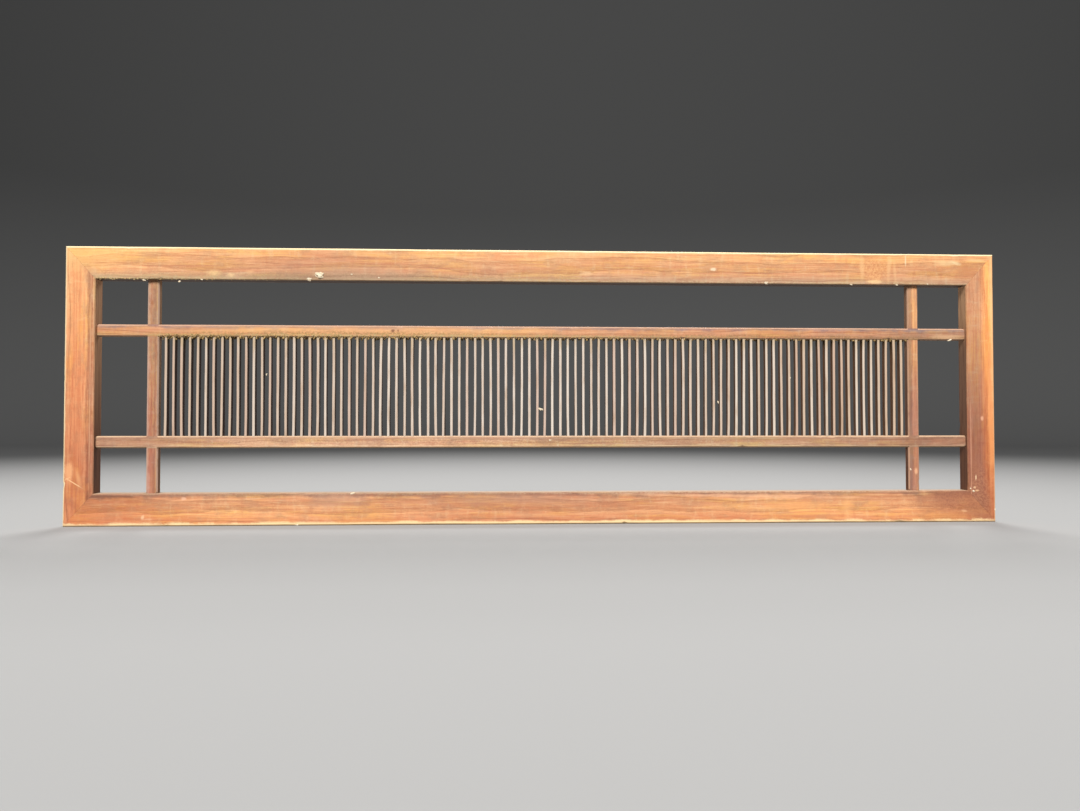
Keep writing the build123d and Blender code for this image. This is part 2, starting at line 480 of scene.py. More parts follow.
def crust(work, chance, start, end, low, front, bevel, amounts):
    """Specks of dust caught along a member's lower front arris, from one amount at the left to another
    at the right."""
    place = start
    while place < end:
        share = (place - start) / (end - start)
        amount = amounts[0] + (amounts[1] - amounts[0]) * share
        size = chance.uniform(0.35, 1.2) * amount * MM
        height = low + chance.uniform(0.0, 1.5) * amount * MM
        depth = front + max(0.0, bevel - (height - low)) + 0.15 * MM
        sizes = (size, 0.5 * size, 0.7 * size)
        lump(work, (place, depth, height), sizes, chance.uniform(0, 3), DUST_ROUGHNESS)
        place += chance.uniform(0.5, 2.4) / amount * MM


def make_rail_dust():
    """The same dust as a thin broken crust, above the slats and at the left end of the top rail."""
    work = bmesh.new()
    chance = random.Random(47)
    slats_start, slats_end = POST_X[0] + HALF_POST, POST_X[1] - HALF_POST
    crust(work, chance, slats_start, slats_end, SLAT_HIGH, LATTICE_FRONT, LATTICE_BEVEL, (1.3, 0.6))
    crust(work, chance, LEFT_INNER, 0.6 * LEFT_INNER, TOP_INNER, FRONT, INNER_BEVEL, (0.9, 0.4))
    finish_lumps("rail_dust", work, dust())


# Plaster crumbs that cling to the panel, as (x, z, half width, half height) in millimetres
FRAME_CRUMBS = (
    (-212, 239, 3.9, 2.5), (-222, 235, 2.0, 1.4), (-182, 240, 0.9, 0.6), (-156, 237, 0.9, 0.6),
    (221, 235, 1.7, 1.1), (-377, 233, 1.6, 0.6), (-344, 232, 0.9, 0.8), (-323, 234, 1.0, 0.5),
    (306, 234, 1.2, 0.5), (352, 234, 1.2, 0.5), (383, 235, 0.8, 0.5),
    (-180, 30.5, 1.8, 0.7), (427.5, 30.5, 1.0, 0.8), (424.5, 33, 0.6, 0.6), (449, 12, 0.6, 0.9),
    (-232, 0.9, 1.3, 0.6),
)
LATTICE_CRUMBS = ((407, 180, 1.8, 0.7), (9, 81, 1.2, 0.6), (366, 52, 0.6, 1.0))
SLAT_CRUMBS = ((-0.5, 111, 2.3, 0.9), (-263, 144, 0.5, 0.9), (174, 118, 0.5, 1.2), (246, 142, 0.4, 0.7))


def make_crumbs():
    """Crumbs of old plaster, half stuck to the wood they lie on."""
    chance = random.Random(5)
    work = bmesh.new()
    lists = ((FRAME_CRUMBS, FRONT), (LATTICE_CRUMBS, LATTICE_FRONT), (SLAT_CRUMBS, SLAT_FRONT))
    for crumbs, surface in lists:
        for x, z, half_width, half_height in crumbs:
            size = (half_width * MM, 0.55 * min(half_width, half_height) * MM, half_height * MM)
            centre = (x * MM, surface + 0.1 * MM, z * MM)
            lump(work, centre, size, chance.uniform(-0.4, 0.4), PLASTER_ROUGHNESS, detail=3)
    finish_lumps("plaster_crumbs", work, plaster())


def strand(start, steps, seed):
    """One curled fibre, as the rings of a thin tube."""
    chance = random.Random(seed)
    heading = Vector((chance.uniform(-1, 1), chance.uniform(-0.6, 0.1), chance.uniform(-1.4, -0.3)))
    heading.normalize()
    centre = Vector(start)
    rings = []
    for _ in range(steps):
        aside = heading.orthogonal().normalized()
        upward = heading.cross(aside)
        ring = []
        for corner in range(FIBRE_SIDES):
            turn = 2 * math.pi * corner / FIBRE_SIDES
            outwards = aside * math.cos(turn) + upward * math.sin(turn)
            ring.append((centre + FIBRE_RADIUS * outwards, 0.0, 0.0))
        rings.append(ring)
        centre = centre + heading * FIBRE_STEP
        swerve = Vector((chance.gauss(0, 1), chance.gauss(0, 0.5), chance.gauss(0, 1)))
        heading = (heading + 0.35 * swerve).normalized()
    return rings


def make_fibres():
    """Loose fibres that hang from the dust at the tops of the slats."""
    chance = random.Random(19)
    strands = []
    for number in range(FIBRE_COUNT):
        share = chance.random() ** 1.6
        x = POST_X[0] + HALF_POST + share * (POST_X[1] - POST_X[0] - 2 * HALF_POST)
        start = (x, chance.uniform(LATTICE_FRONT, SLAT_FRONT), SLAT_HIGH + 0.3 * MM)
        strands.append(strand(start, chance.randint(6, 14), number))
    add_object("loose_fibres", loft("loose_fibres", strands), dust())


# ---- Materials ----


def shown(red, green, blue):
    """The surface colour that looks like this sRGB colour, 0 to 255, under the studio light."""
    linear = []
    for channel in (red, green, blue):
        share = channel / 255
        share = share / 12.92 if share <= 0.04045 else ((share + 0.055) / 1.055) ** 2.4
        linear.append(share / LIGHT_LEVEL)
    return (*linear, 1.0)


def tints(stops, usual):
    """The same (place, look) stops, as tints that turn the usual look into each of them."""
    whole = shown(*usual)
    return [
        (place, tuple(part / part_of for part, part_of in zip(shown(*look), whole)))
        for place, look in stops
    ]


# The looks of clean wood, and of its early wood, late wood and so on
CLEAN_WOOD = (243, 184, 132)
EARLY = shown(252, 188, 134)
GOLDEN = shown(252, 190, 114)
LATE = shown(230, 154, 106)
DULL = shown(208, 156, 116)
LINE = shown(156, 92, 54)
PALE = shown(255, 218, 166)

# How far apart the wave texture's rings lie when its scale is 1
WAVE_SPACING = 0.314

# How far a mark reaches into the wood, in millimetres
MARK_REACH = 6.0

# Painted shade that dulls the outer faces of the frame (its top, its bottom and its ends)
OUTSIDE_PAINTED_SHADE = (0.6, 0.56, 0.52, 1.0)


class Shader:
    """Builds the nodes of one material. Places in it are millimetres in the panel's frame."""

    def __init__(self, name):
        self.material = bpy.data.materials.new(name)
        self.material.use_nodes = True
        self.tree = self.material.node_tree
        self.surface = self.tree.nodes["Principled BSDF"]
        metres = self.node("ShaderNodeTexCoord").outputs["Object"]
        scaled = self.node("ShaderNodeVectorMath", {0: metres, "Scale": 1 / MM}, operation="SCALE")
        self.place = scaled.outputs[0]

    def node(self, kind, inputs=(), **settings):
        """Adds a node. Each input is a number, a colour, or another node's output."""
        made = self.tree.nodes.new(kind)
        for key, value in settings.items():
            setattr(made, key, value)
        for socket, value in dict(inputs).items():
            self.feed(made.inputs[socket], value)
        return made

    def feed(self, socket, value):
        """Links an output to a socket, or sets the socket's own value."""
        if isinstance(value, bpy.types.NodeSocket):
            self.tree.links.new(value, socket)
        else:
            socket.default_value = value

    def split(self, vector):
        """The three numbers of a vector."""
        return self.node("ShaderNodeSeparateXYZ", {0: vector}).outputs

    def join(self, x, y, z):
        """A vector from three numbers."""
        return self.node("ShaderNodeCombineXYZ", {0: x, 1: y, 2: z}).outputs[0]

    def math(self, operation, first, second):
        """One sum on two numbers."""
        return self.node("ShaderNodeMath", {0: first, 1: second}, operation=operation).outputs[0]

    def vector(self, operation, first, second):
        """One sum on two vectors."""
        return self.node("ShaderNodeVectorMath", {0: first, 1: second}, operation=operation).outputs[0]

    def noise(self, place, sizes, detail=4.0, roughness=0.55):
        """Noise from 0 to 1, with features of these sizes in millimetres along the three axes."""
        scaled = self.vector("DIVIDE", place, sizes)
        inputs = {"Vector": scaled, "Scale": 1.0, "Detail": detail, "Roughness": roughness}
        return self.node("ShaderNodeTexNoise", inputs).outputs[0]

    def ramp(self, value, low, high, to_low=0.0, to_high=1.0):
        """A smooth change from to_low to to_high as the value goes from low to high."""
        inputs = {"Value": value, "From Min": low, "From Max": high, "To Min": to_low, "To Max": to_high}
        return self.node("ShaderNodeMapRange", inputs, interpolation_type="SMOOTHSTEP").outputs[0]

    def shifted(self, value, pattern, reach):
        """The value, pushed up or down by up to a reach where the pattern is high or low."""
        return self.math("ADD", value, self.ramp(pattern, 0.3, 0.7, -reach, reach))

    def mix(self, under, over, amount, blend="MIX"):
        """One colour laid over another."""
        inputs = {0: amount, 6: under, 7: over}
        return self.node("ShaderNodeMix", inputs, data_type="RGBA", blend_type=blend).outputs[2]

    def change(self, value, stops):
        """A colour that changes smoothly from each (place, colour) stop to the next, in rising order."""
        colour = stops[0][1]
        for (start, _), (end, after) in zip(stops, stops[1:]):
            colour = self.mix(colour, after, self.ramp(value, start, end))
        return colour

    def attribute(self, name):
        """A number that the mesh stores at each vertex."""
        return self.node("ShaderNodeAttribute", attribute_name=name).outputs["Fac"]

    def bump(self, height, depth_mm):
        """Raises the surface by a height from 0 to 1, where 1 is this many millimetres."""
        inputs = {"Height": height, "Distance": depth_mm * MM, "Strength": 1.0}
        self.feed(self.surface.inputs["Normal"], self.node("ShaderNodeBump", inputs).outputs[0])

    def finish(self, colour, roughness, specular=0.3):
        """Sets the surface's colour and gloss, and returns the material."""
        self.feed(self.surface.inputs["Base Color"], colour)
        self.feed(self.surface.inputs["Roughness"], roughness)
        self.surface.inputs["Specular IOR Level"].default_value = specular
        return self.material


def with_mark(shader, colour, mark, edge, front, grains=1.0):
    """The colour with a mark laid over it, as an uneven ellipse on the front that may break up into
    grains. A mark is (x, z, half width, half height, turn in degrees, look, strength, softness)."""
    x, z, half_width, half_height, turn, look, strength, softness = mark
    inputs = {
        "Vector": shader.place,
        "Location": (x, front / MM, z),
        "Rotation": (0.0, math.radians(turn), 0.0),
        "Scale": (half_width, MARK_REACH, half_height),
    }
    local = shader.node("ShaderNodeMapping", inputs, vector_type="TEXTURE").outputs[0]
    distance = shader.node("ShaderNodeVectorMath", {0: local}, operation="LENGTH").outputs["Value"]
    uneven = shader.math("ADD", distance, edge)
    shows = shader.ramp(uneven, 1 + softness, 1 - softness, 0.0, strength)
    return shader.mix(colour, shown(*look), shader.math("MULTIPLY", grains, shows))


def ring_lines(shader, along, across, y, grain, looks):
    """The dark lines where late wood ends, from 0 to 1: rings about a pith that lies off the face."""
    wander = shader.noise(grain, (140.0, 45.0, 45.0), detail=2.0)
    swung = shader.shifted(across, wander, 3.5)
    pith = shader.join(shader.math("MULTIPLY", along, 0.03), swung, shader.math("ADD", y, looks["pith"]))
    centred = shader.vector("SUBTRACT", pith, (0.0, looks["centre"], 0.0))
    inputs = {"Vector": centred, "Scale": WAVE_SPACING / looks["ring"], "Distortion": 1.3, "Detail": 3.0}
    inputs.update({"Detail Scale": 1.0, "Detail Roughness": 0.6})
    settings = {"wave_type": "RINGS", "rings_direction": "X", "wave_profile": "SAW"}
    rings = shader.node("ShaderNodeTexWave", inputs, **settings)
    return shader.ramp(rings.outputs["Fac"], 0.68, 0.96)


def wood(name, upright, seed, looks, front, marks=(), grit=()):
    """Old planed softwood. Its looks say how the whole colour changes along and across the member,
    the colour of the side that faces the opening, which is partly the wood's own and partly painted
    shade, and how its rings lie. Marks lie on its front, and grit is marks that break up into grains."""
    shader = Shader(name)
    x, y, z = shader.split(shader.place)
    along, across = (z, x) if upright else (x, z)
    grain = shader.vector("ADD", shader.join(along, across, y), (seed * 131.0, seed * 17.0, seed * 5.0))

    line = ring_lines(shader, along, across, y, grain, looks)
    streak = shader.noise(grain, (60.0, 1.9, 1.9), roughness=0.6)
    thread = shader.noise(grain, (20.0, 1.0, 1.0), detail=3.0, roughness=0.6)
    fibre = shader.noise(grain, (9.0, 0.5, 0.5), roughness=0.65)
    blotch = shader.noise(grain, (17.0, 8.0, 8.0), roughness=0.65)
    fleck = shader.noise(grain, (1.3, 2.6, 2.6), detail=3.0, roughness=0.7)
    pore = shader.noise(grain, (3.5, 0.28, 0.28), detail=2.0)
    speckle = shader.noise(shader.place, (1.1, 1.1, 1.1), detail=3.0, roughness=0.7)
    glow = shader.noise(grain, (60.0, 13.0, 13.0), detail=3.0)
    figure = shader.noise(grain, (5.0, 15.0, 15.0), detail=3.0, roughness=0.6)

    ring_amount = shader.ramp(fibre, 0.3, 0.65, 0.1, looks["line_amount"])
    layers = (
        (GOLDEN, shader.ramp(glow, 0.42, 0.62, 0.0, 0.9)),
        (LATE, shader.ramp(streak, 0.38, 0.66, 0.0, 0.8)),
        (DULL, shader.ramp(blotch, 0.44, 0.68, 0.0, 0.6)),
        (PALE, shader.ramp(figure, 0.3, 0.46, 0.26, 0.0)),
        (LATE, shader.ramp(figure, 0.54, 0.7, 0.0, 0.45)),
        (LINE, shader.math("MULTIPLY", line, ring_amount)),
        (LINE, shader.ramp(thread, 0.54, 0.76, 0.0, 0.42)),
        (PALE, shader.ramp(thread, 0.26, 0.44, 0.4, 0.0)),
        (LINE, shader.ramp(fleck, 0.58, 0.85, 0.0, 0.35)),
        (LINE, shader.ramp(pore, 0.66, 0.75, 0.0, 0.35)),
        (PALE, shader.ramp(speckle, 0.52, 0.8, 0.0, 0.35)),
    )
    colour = EARLY
    for tone, amount in layers:
        colour = shader.mix(colour, tone, amount)

    lengthwise = shader.change(shader.shifted(along, blotch, 14.0), tints(looks["along"], CLEAN_WOOD))
    crosswise = shader.change(shader.shifted(across, blotch, 1.2), tints(looks["across"], looks["usual"]))
    colour = shader.mix(colour, lengthwise, 1.0, "MULTIPLY")
    colour = shader.mix(colour, crosswise, 1.0, "MULTIPLY")

    fine_edge = shader.ramp(speckle, 0.3, 0.7, -0.18, 0.18)
    broad = shader.noise(shader.place, (16.0, 16.0, 16.0), detail=3.0)
    edge = shader.shifted(fine_edge, broad, 0.3)
    for mark in marks:
        colour = with_mark(shader, colour, mark, edge, front)
    grains = shader.ramp(shader.noise(shader.place, (1.7, 1.7, 1.3), roughness=0.75), 0.42, 0.58)
    for mark in grit:
        colour = with_mark(shader, colour, mark, edge, front, grains)

    # The sides that face the opening: partly the wood's own colour and partly painted shade, darker low down
    # and darkest under the top rail
    side = shader.change(along, [(place, shown(*look)) for place, look in looks["inner"]])
    side = shader.mix(side, LINE, shader.ramp(streak, 0.45, 0.7, 0.0, 0.45), "MULTIPLY")
    facing = shader.attribute("facing")
    colour = shader.mix(colour, side, shader.ramp(facing, 0.2, 0.9))
    # Painted shade on the frame's outer faces
    colour = shader.mix(colour, OUTSIDE_PAINTED_SHADE, shader.ramp(facing, -0.2, -0.9), "MULTIPLY")

    rubbed = shader.noise(grain, (9.0, 4.0, 4.0), roughness=0.65)
    wear = shader.math("MULTIPLY", shader.attribute("wear"), shader.ramp(rubbed, 0.25, 0.5, 0.6, 1.0))
    colour = shader.mix(colour, shown(*looks["worn"]), shader.ramp(wear, 0.25, 0.8))

    roughness = shader.ramp(fibre, 0.25, 0.75, 0.5, 0.68)
    height = shader.math("SUBTRACT", shader.math("MULTIPLY", fibre, 0.6), shader.math("MULTIPLY", line, 0.25))
    height = shader.math("SUBTRACT", height, shader.ramp(pore, 0.64, 0.76, 0.0, 0.4))
    shader.bump(height, 0.22)
    return shader.finish(colour, roughness)


# ---- Looks of each member. Places are millimetres, and looks are sRGB from 0 to 255 ----

# Tones of the old wood, from golden to dark
AMBER = (246, 186, 128)
HONEY = (230, 171, 123)
APRICOT = (240, 177, 122)
COPPER = (240, 157, 102)
ORANGE = (230, 160, 110)
ROSE = (214, 155, 115)
TAN = (226, 150, 100)
RUSSET = (208, 138, 97)
CEDAR = (186, 132, 105)
UMBER = (186, 125, 90)
CHESTNUT = (168, 110, 80)

# Greyer tones, where the wood is dusty or little handled, and SHADE for painted shade
DRIFT = (222, 177, 140)
FAWN = (198, 160, 126)
MAUVE = (194, 156, 136)
OCHRE = (213, 161, 105)
TAUPE = (190, 145, 113)
BARK = (174, 130, 102)
# Painted shade, for the low parts of the sides that face the opening
SHADE = (147, 99, 72)

# Lines rubbed pale beside the outer arrises: top, bottom, left, and the upper and lower right
RUBBED_LINES = (
    (0, 264.2, 470, 1.0, 0, (255, 228, 180), 0.85, 0.5),
    (0, 1.2, 470, 2.3, 0, (255, 222, 166), 0.95, 0.5),
    (-449.4, 170, 1.3, 110, 0, (252, 212, 168), 0.7, 0.5),
    (448.6, 205, 2.4, 75, 0, (254, 204, 146), 0.7, 0.6),
    (449.5, 60, 0.8, 80, 0, (232, 150, 98), 0.5, 0.5),
)


def frame_looks(**changes):
    """What the four members of the frame have in common: the look of rubbed arrises, how dark the ring
    lines are and how far apart, how far the pith lies behind the face, and its place across it."""
    usual = {"worn": (255, 226, 176), "line_amount": 0.48, "ring": 2.7, "pith": 42.0, "centre": 250.0}
    return {**usual, **changes}


def top_rail_wood():
    """Dusty along its lower edge, with a few pale scuffs and a scratched patch near the right end.
    Its underside is painted dark brown, as shade.
    """
    low = TOP_INNER / MM
    looks = frame_looks(
        usual=HONEY,
        along=((-440, AMBER), (-300, HONEY), (-210, ROSE), (-80, HONEY)),
        across=((low + 0.5, FAWN), (low + 11, HONEY), (low + 27, AMBER)),
        # The underside, painted dark brown as shade
        inner=((0, (92, 62, 42)),),
    )
    marks = (
        (-200, 237, 90, 4.0, 0, (166, 136, 104), 0.5, 0.8),
        (-185, 243, 60, 5.0, 0, (198, 160, 124), 0.4, 0.8),
        (-436, 255, 40, 9, 0, (255, 196, 116), 0.5, 0.8),
        (428, 246, 22, 8, 40, (204, 134, 90), 0.6, 0.7),
        (-312, 240, 6, 2.6, 0, (255, 214, 150), 0.6, 0.8),
        (-296, 238.5, 4, 2.2, 0, (255, 214, 158), 0.6, 0.6),
        (-278, 242, 5, 1.6, 0, (250, 196, 138), 0.5, 0.6),
        (44, 243, 5, 2, 0, (252, 208, 158), 0.5, 0.5),
        (168, 248, 3, 1.6, 0, (255, 228, 190), 0.8, 0.4),
        (400, 256, 8, 1.8, 4, (255, 218, 160), 0.5, 0.8),
        (412, 256, 5, 1.6, 14, (255, 226, 172), 0.7, 0.7),
        (430, 259, 8, 1.2, 0, (252, 206, 150), 0.6, 0.6),
        (331, 248, 15, 12, 0, (214, 138, 88), 0.55, 0.6),
        (317, 250, 1.6, 13, 0, (252, 204, 146), 0.42, 0.9),
        (344, 251, 1.6, 13, 3, (252, 204, 148), 0.46, 0.9),
        (350, 248, 1.2, 11, -3, (250, 198, 140), 0.36, 0.9),
        (361, 259, 0.7, 5, 0, (255, 230, 188), 0.6, 0.5),
        (330, 237, 8, 1.4, 0, (255, 218, 160), 0.7, 0.5),
    )
    grit = (
        (-330, 235.4, 90, 2.2, 0, (214, 190, 142), 0.85, 0.6),
        (60, 235.2, 420, 1.4, 0, (214, 184, 142), 0.75, 0.6),
        (-200, 237, 240, 5.0, 0, (140, 108, 76), 0.35, 0.8),
        (330, 248, 14, 11, 0, (255, 196, 132), 0.5, 0.6),
    )
    return wood("top_rail_wood", False, 1.0, looks, FRONT, marks + RUBBED_LINES, grit)


def bottom_rail_wood():
    """Grey with dust along its upper edge, golden low down, and dark brown at the right end."""
    high = BOTTOM_INNER / MM
    looks = frame_looks(
        usual=HONEY,
        along=((-440, RUSSET), (-300, HONEY), (-20, ROSE), (260, HONEY), (345, HONEY), (425, UMBER)),
        across=((5, ORANGE), (11, APRICOT), (high - 6, HONEY), (high - 1.5, BARK)),
        inner=((0, (178, 148, 118)),),
        worn=(250, 210, 156),
        centre=18.0,
    )
    marks = (
        (-30, 25, 60, 5.0, 0, (188, 140, 112), 0.5, 0.8),
        (-196, 24, 22, 6.0, 0, (196, 150, 122), 0.5, 0.8),
        (408, 25, 28, 9, -6, (158, 98, 74), 0.7, 0.8),
        (430, 14, 14, 9, 38, (166, 104, 74), 0.6, 0.7),
        (396, 5, 26, 4, 0, (232, 160, 92), 0.5, 0.7),
        (-376, 8.6, 1.3, 2.0, 20, (255, 216, 172), 0.55, 0.7),
        (-371, 6.8, 4, 0.7, 0, (250, 200, 154), 0.4, 0.7),
        (-338, 26, 2, 1.2, 0, (252, 200, 166), 0.6, 0.5),
        (418, 11, 2.6, 1.0, 10, (250, 196, 146), 0.45, 0.6),
        (250, 17, 26, 4, 0, (250, 178, 116), 0.5, 0.8),
        (300, 15, 5, 9, 6, (250, 184, 120), 0.45, 0.8),
        (180, 27, 120, 1.4, 1, (246, 188, 146), 0.5, 0.7),
    )
    grit = (
        (-110, high - 0.5, 300, 1.3, 0, (206, 178, 144), 0.45, 0.6),
        (200, high - 0.6, 170, 1.1, 0, (226, 190, 154), 0.35, 0.6),
        (-140, high - 0.2, 330, 0.7, 0, (118, 88, 66), 0.6, 0.6),
        (412, 17, 30, 12, 0, (222, 154, 106), 0.25, 0.7),
    )
    return wood("bottom_rail_wood", False, 2.0, looks, FRONT, marks + RUBBED_LINES, grit)


def left_stile_wood():
    """Golden at the top, redder low down, with a dark stripe beside the opening and two scratches.
    The side that faces the opening is painted with shade that deepens low down.
    """
    edge = LEFT_INNER / MM
    looks = frame_looks(
        usual=ORANGE,
        along=((40, RUSSET), (140, ORANGE), (235, AMBER)),
        across=(
            (-447, ORANGE), (-442, TAN), (-436, TAN),
            (-431, ORANGE), (edge - 3.5, UMBER), (edge - 1, ROSE),
        ),
        # The side that faces the opening, painted with shade that deepens towards the bottom
        inner=((60, SHADE), (205, (250, 190, 142))),
        ring=4.0,
        pith=20.0,
        centre=-436.0,
    )
    marks = (
        (-442, 258, 12, 14, 0, (255, 206, 134), 0.5, 0.8),
        (edge - 3.8, 150, 0.5, 120, 0, (240, 186, 140), 0.35, 0.5),
        (-443.5, 52, 3.5, 8, 0, (252, 188, 132), 0.6, 0.7),
        (-436, 47, 2.0, 8, -12, (244, 176, 120), 0.5, 0.7),
        (-439.5, 41, 7.0, 0.45, 32, (255, 210, 156), 0.7, 0.6),
        (-446, 45, 3.0, 0.4, -28, (252, 200, 146), 0.5, 0.5),
    )
    return wood("left_stile_wood", True, 3.0, looks, FRONT, marks + RUBBED_LINES)


def right_stile_wood():
    """Brown low down beside the opening, and orange towards its outer edge. The side that faces
    the opening is painted with shade that deepens low down.
    """
    edge = RIGHT_INNER / MM
    looks = frame_looks(
        usual=ROSE,
        along=((25, CHESTNUT), (70, UMBER), (220, AMBER)),
        across=((edge + 12, CEDAR), (edge + 22, COPPER)),
        # The side that faces the opening, painted with shade that deepens towards the bottom
        inner=((50, SHADE), (160, BARK), (210, (255, 200, 152))),
        worn=(242, 182, 126),
        ring=3.6,
        centre=432.0,
    )
    marks = (
        (430, 42, 8, 26, 0, (156, 98, 76), 0.65, 0.8),
        (446, 115, 3.5, 85, 0, (252, 172, 108), 0.5, 0.6),
        (437, 18, 8, 12, 0, (150, 92, 68), 0.6, 0.8),
        (edge + 3.4, 60, 0.6, 60, 0, (220, 162, 130), 0.5, 0.6),
        (437, 102, 1.2, 2.0, 0, (244, 182, 146), 0.7, 0.6),
        (430, 44, 0.7, 3.0, 0, (250, 214, 170), 0.8, 0.5),
        (428.5, 34, 1.4, 1.0, 0, (250, 206, 160), 0.7, 0.5),
        (431, 31, 1.8, 0.8, 0, (244, 196, 146), 0.7, 0.5),
    )
    grit = ((434, 28, 12, 26, 0, (222, 158, 114), 0.28, 0.7),)
    return wood("right_stile_wood", True, 4.0, looks, FRONT, marks + RUBBED_LINES, grit)


def lattice_looks(**changes):
    """What the four members of the lattice have in common: they are greyer and finer than the frame."""
    return {**frame_looks(worn=(198, 154, 124), line_amount=0.4, ring=1.9), **changes}


def upper_lattice_rail_wood():
    """Warm in front, with golden-brown dust along its lower edge, thinning out to the right.
    Its upper and lower faces are painted dark brown, as shade.
    """
    low = SLAT_HIGH / MM
    looks = lattice_looks(
        usual=HONEY,
        along=((-400, ROSE), (-230, HONEY), (-100, HONEY), (60, ROSE), (260, ROSE), (390, TAUPE)),
        across=((low, OCHRE), (low + 5, HONEY), (low + 7, HONEY), (low + 10.3, MAUVE)),
        # The upper and lower faces, painted dark brown as shade
        inner=((0, (120, 90, 60)),),
        centre=200.0,
    )
    marks = (
        (-150, low + 7.0, 200, 3.5, 0, (240, 184, 130), 0.4, 0.8),
        (-143, low + 6.5, 1.4, 1.2, 0, (136, 82, 56), 0.9, 0.6),
        (-138, low + 6.8, 0.8, 0.8, 0, (150, 92, 62), 0.8, 0.6),
        (403, low + 2.5, 12, 2.4, 0, (226, 180, 138), 0.6, 0.6),
    )
    grit = (
        (-190, low + 1.6, 180, 3.4, 0, (150, 120, 66), 0.9, 0.7),
        (170, low + 1.2, 200, 2.6, 0, (146, 108, 66), 0.85, 0.7),
        (-120, low + 1.0, 270, 1.8, 0, (206, 184, 130), 0.8, 0.6),
        (0, low + 0.1, 366, 1.0, 0, (96, 72, 38), 0.85, 0.6),
    )
    return wood("upper_lattice_rail_wood", False, 5.0, looks, LATTICE_FRONT, marks, grit)


def lower_lattice_rail_wood():
    """Greyer than the upper rail, with dust on its upper chamfer and a beige lower edge."""
    low = RAIL_BOX[0].z / MM
    looks = lattice_looks(
        usual=TAUPE,
        along=((-400, TAUPE), (-240, DRIFT), (-100, DRIFT), (50, FAWN), (250, FAWN), (390, BARK)),
        across=((low + 2, FAWN), (low + 3.6, TAUPE), (low + 6.5, TAUPE), (low + 9.5, BARK)),
        inner=((0, (172, 144, 114)),),
        worn=(204, 168, 134),
        centre=95.0,
    )
    grit = (
        (0, low + 9.8, 372, 1.5, 0, (206, 176, 148), 0.5, 0.6),
        (0, low + 6.5, 372, 3.2, 0, (156, 108, 80), 0.45, 0.7),
    )
    return wood("lower_lattice_rail_wood", False, 6.0, looks, LATTICE_FRONT, (), grit)


def left_post_wood():
    """Grey-brown, with paler arrises and one small knot near the top. Its sides are painted with
    shade that deepens low down.
    """
    edge = POST_X[0] / MM + HALF_POST / MM
    looks = lattice_looks(
        usual=TAUPE,
        along=((80, CEDAR), (180, TAUPE)),
        across=(
            (edge - 9.8, MAUVE), (edge - 7, CEDAR), (edge - 5.5, TAUPE),
            (edge - 3, BARK), (edge - 1, FAWN),
        ),
        # The sides, painted with shade that deepens towards the bottom
        inner=((60, (166, 122, 90)), (220, (216, 166, 124))),
        worn=(208, 170, 148),
        centre=-372.0,
    )
    marks = ((-370.5, 212, 1.2, 2.0, 0, (166, 102, 60), 0.7, 0.7),)
    return wood("left_post_wood", True, 7.0, looks, LATTICE_FRONT, marks)


def right_post_wood():
    """Warm high up and browner low down. Its sides are painted with shade that deepens low down."""
    edge = POST_X[1] / MM - HALF_POST / MM
    looks = lattice_looks(
        usual=ROSE,
        along=((90, CEDAR), (210, HONEY)),
        across=((edge + 2.8, BARK), (edge + 5.5, ROSE)),
        # The sides, painted with shade that deepens towards the bottom
        inner=((60, SHADE), (220, TAUPE)),
        centre=364.0,
    )
    marks = ((371.5, 50, 1.2, 2.4, 0, (246, 188, 146), 0.7, 0.6),)
    return wood("right_post_wood", True, 8.0, looks, LATTICE_FRONT, marks)


WOODS = {
    "top_frame_rail": top_rail_wood,
    "bottom_frame_rail": bottom_rail_wood,
    "left_stile": left_stile_wood,
    "right_stile": right_stile_wood,
    "upper_lattice_rail": upper_lattice_rail_wood,
    "lower_lattice_rail": lower_lattice_rail_wood,
    "left_lattice_post": left_post_wood,
    "right_lattice_post": right_post_wood,
}


def slat_wood():
    """Pale rubbed edges in front and behind, dark brown sides, and a trace of dust at the top.
    The sides are partly painted shade, darker towards the left.
    """
    shader = Shader("slat_wood")
    x, y, z = shader.split(shader.place)
    top = SLAT_HIGH / MM
    grain = shader.join(z, x, y)
    tone = shader.attribute("tone")
    fibre = shader.noise(grain, (16.0, 0.7, 0.7), roughness=0.6)
    blotch = shader.noise(grain, (30.0, 4.0, 4.0), detail=3.0)
    stops = ((-360, (206, 184, 164)), (0, (222, 208, 194)), (360, (208, 182, 156)))
    clean = shader.change(x, [(place, shown(*look)) for place, look in stops])
    edge = shader.mix(clean, shader.mix(clean, shown(196, 164, 136), 0.7), shader.ramp(fibre, 0.35, 0.7))
    edge = shader.mix(edge, shown(200, 162, 142), shader.ramp(tone, 0.6, 1.0, 0.0, 0.45))
    edge = shader.mix(edge, shown(232, 222, 208), shader.ramp(tone, 0.4, 0.0, 0.0, 0.5))
    edge = shader.mix(edge, shown(170, 136, 104), shader.ramp(blotch, 0.52, 0.75, 0.0, 0.5))
    height = shader.shifted(z, blotch, 5.0)
    dusty = shader.ramp(height, top - 13.0, top, 0.0, 0.7)
    edge = shader.mix(edge, shown(196, 170, 132), dusty)
    # The sides: dark brown wood with painted shade, darker on the left where the sides seen face away from
    # the key light, lighter on the right where they face it
    side = shader.mix(shown(84, 52, 34), shown(150, 108, 76), shader.ramp(x, -300.0, 350.0))
    side = shader.mix(side, shown(44, 26, 16), shader.ramp(fibre, 0.4, 0.75, 0.0, 0.6))
    side = shader.mix(side, shown(78, 66, 30), dusty)
    colour = shader.mix(edge, side, shader.ramp(shader.attribute("facing"), 0.1, 0.8))
    roughness = shader.ramp(fibre, 0.25, 0.75, 0.55, 0.72)
    shader.bump(fibre, 0.12)
    return shader.finish(colour, roughness, specular=0.2)


